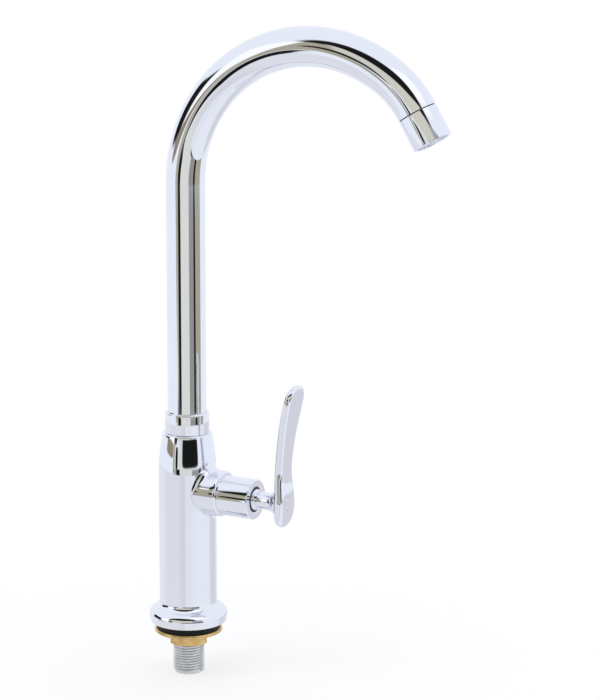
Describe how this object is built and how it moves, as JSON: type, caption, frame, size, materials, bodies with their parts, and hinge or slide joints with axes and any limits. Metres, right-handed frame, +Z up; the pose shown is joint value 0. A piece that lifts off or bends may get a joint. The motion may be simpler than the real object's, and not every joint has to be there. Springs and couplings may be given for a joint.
{
  "type": "pillar tap",
  "caption": "Chrome pillar tap with a swivelling swan-neck spout, aerator outlet, quarter-turn side lever, threaded inlet shank and back nut.",
  "frame": {"origin": "on the body's axis, in the plane of the deck that the foot stands on", "axes": "+Z up along the body's axis, +X along the valve's axis towards the lever, the spout drawn over +X"},
  "size_m": [0.2101, 0.0518, 0.4313],
  "materials": {
    "chrome_plate": "polished chrome plate",
    "plated_thread": "dull grey plating on a cut thread",
    "brass": "turned brass",
    "steel": "bright stainless steel",
    "black_rubber": "matt moulded rubber",
    "black_plastic": "moulded black plastic",
    "grey_plastic": "moulded grey plastic",
    "white_plastic": "moulded white nylon",
    "ceramic": "lapped ceramic"
  },
  "bodies": {
    "base": {"body": "chrome_plate", "inlet_shank": "plated_thread", "shank_seal": "black_rubber", "spout_collar": "chrome_plate", "headwork_body": "brass", "headwork_o_ring": "black_rubber", "seat_seal": "black_rubber", "fixed_disc": "ceramic", "thrust_washer": "white_plastic", "bonnet": "chrome_plate", "hub_bush": "black_plastic"},
    "spout": {"spout_tube": "chrome_plate", "spout_tail": "brass", "spout_o_ring_upper": "black_rubber", "spout_o_ring_lower": "black_rubber", "spout_glide_ring": "white_plastic", "outlet_bush": "brass", "aerator_seal": "black_rubber", "aerator_housing": "chrome_plate", "aerator_screen": "steel", "aerator_insert": "grey_plastic"},
    "handle": {"lever_handle": "chrome_plate", "handle_screw": "steel", "index_cap": "chrome_plate", "spindle": "brass", "spindle_o_ring": "black_rubber", "spindle_circlip": "steel", "moving_disc": "ceramic"},
    "gasket": {"base_gasket": "black_rubber"},
    "nut": {"lock_nut": "brass"}
  },
  "joints": [
    {"name": "spout_swivel", "type": "hinge", "parent": "base", "child": "spout", "pos_m": [0, 0, 0.1142], "axis": [0, 0, 1], "continuous": true},
    {"name": "handle_turn", "type": "hinge", "parent": "base", "child": "handle", "pos_m": [0, 0, 0.0887], "axis": [1, 0, 0], "range_deg": [0, 90]},
    {"name": "gasket_slide", "type": "slide", "parent": "base", "child": "gasket", "axis": [0, 0, -1], "range_m": [0, 0.0127]},
    {"name": "nut_spin", "type": "hinge", "parent": "gasket", "child": "nut", "pos_m": [0, 0, -0.0098], "axis": [0, 0, -1], "range_deg": [0, 2520]}
  ],
  "couplings": [
    {"joint": "gasket_slide", "follows": "nut_spin", "m_per_rad": 0.00028871}
  ]
}
